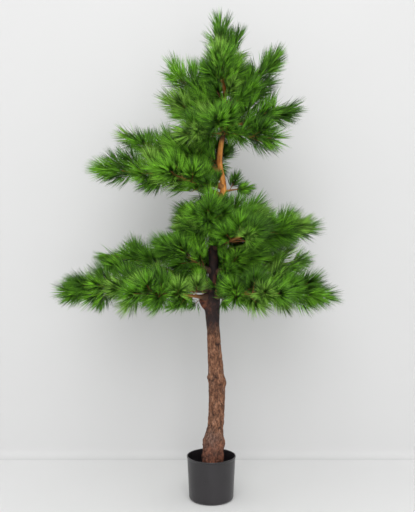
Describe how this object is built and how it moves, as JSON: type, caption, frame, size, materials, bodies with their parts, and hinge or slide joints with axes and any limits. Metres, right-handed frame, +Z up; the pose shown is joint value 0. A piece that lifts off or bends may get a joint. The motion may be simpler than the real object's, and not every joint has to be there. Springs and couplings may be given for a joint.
{
  "type": "artificial pine tree",
  "caption": "Tall artificial pine in a plain black pot: a bark-covered trunk, flat tiers of long green needle brushes and a pointed leader.",
  "frame": {"origin": "centre of the pot's flat underside, on the floor", "axes": "+Z up along the trunk, +X to the right and -Y towards the viewer, as in the picture"},
  "size_m": [1.0827, 0.8043, 1.8045],
  "materials": {
    "pot": "satin",
    "ballast": "matte",
    "bark": "matte",
    "stem_bark": "matte",
    "needles": "matte"
  },
  "bodies": {
    "root": {"pot": "pot", "ballast": "ballast", "trunk": "bark", "lower_left_bough": "stem_bark", "lower_left_front_bough": "stem_bark", "lower_left_back_bough": "stem_bark", "lower_left_inner_bough": "stem_bark", "lower_right_bough": "stem_bark", "lower_right_front_bough": "stem_bark", "lower_right_back_bough": "stem_bark", "lower_right_inner_bough": "stem_bark", "lower_back_bough": "stem_bark", "middle_right_bough": "stem_bark", "middle_right_front_bough": "stem_bark", "middle_right_inner_bough": "stem_bark", "middle_right_back_bough": "stem_bark", "middle_left_bough": "stem_bark", "middle_front_bough": "stem_bark", "middle_back_bough": "stem_bark", "upper_left_bough": "stem_bark", "upper_left_front_bough": "stem_bark", "upper_left_back_bough": "stem_bark", "upper_left_inner_bough": "stem_bark", "upper_back_bough": "stem_bark", "lower_left_needles": "needles", "lower_left_front_needles": "needles", "lower_left_back_needles": "needles", "lower_left_inner_needles": "needles", "lower_right_needles": "needles", "lower_right_front_needles": "needles", "lower_right_back_needles": "needles", "lower_right_inner_needles": "needles", "lower_back_needles": "needles", "middle_right_needles": "needles", "middle_right_front_needles": "needles", "middle_right_inner_needles": "needles", "middle_right_back_needles": "needles", "middle_left_needles": "needles", "middle_front_needles": "needles", "middle_back_needles": "needles", "upper_left_needles": "needles", "upper_left_front_needles": "needles", "upper_left_back_needles": "needles", "upper_left_inner_needles": "needles", "upper_back_needles": "needles", "upper_right_needles": "needles", "crown_right_needles": "needles", "crown_left_needles": "needles", "crown_front_needles": "needles", "crown_right_front_needles": "needles", "crown_left_front_needles": "needles", "crown_back_needles": "needles", "crown_upper_left_needles": "needles", "crown_upper_right_needles": "needles", "crown_upper_front_needles": "needles", "crown_upper_back_needles": "needles", "crown_side_needles": "needles", "crown_top_needles": "needles"}
  },
  "joints": []
}
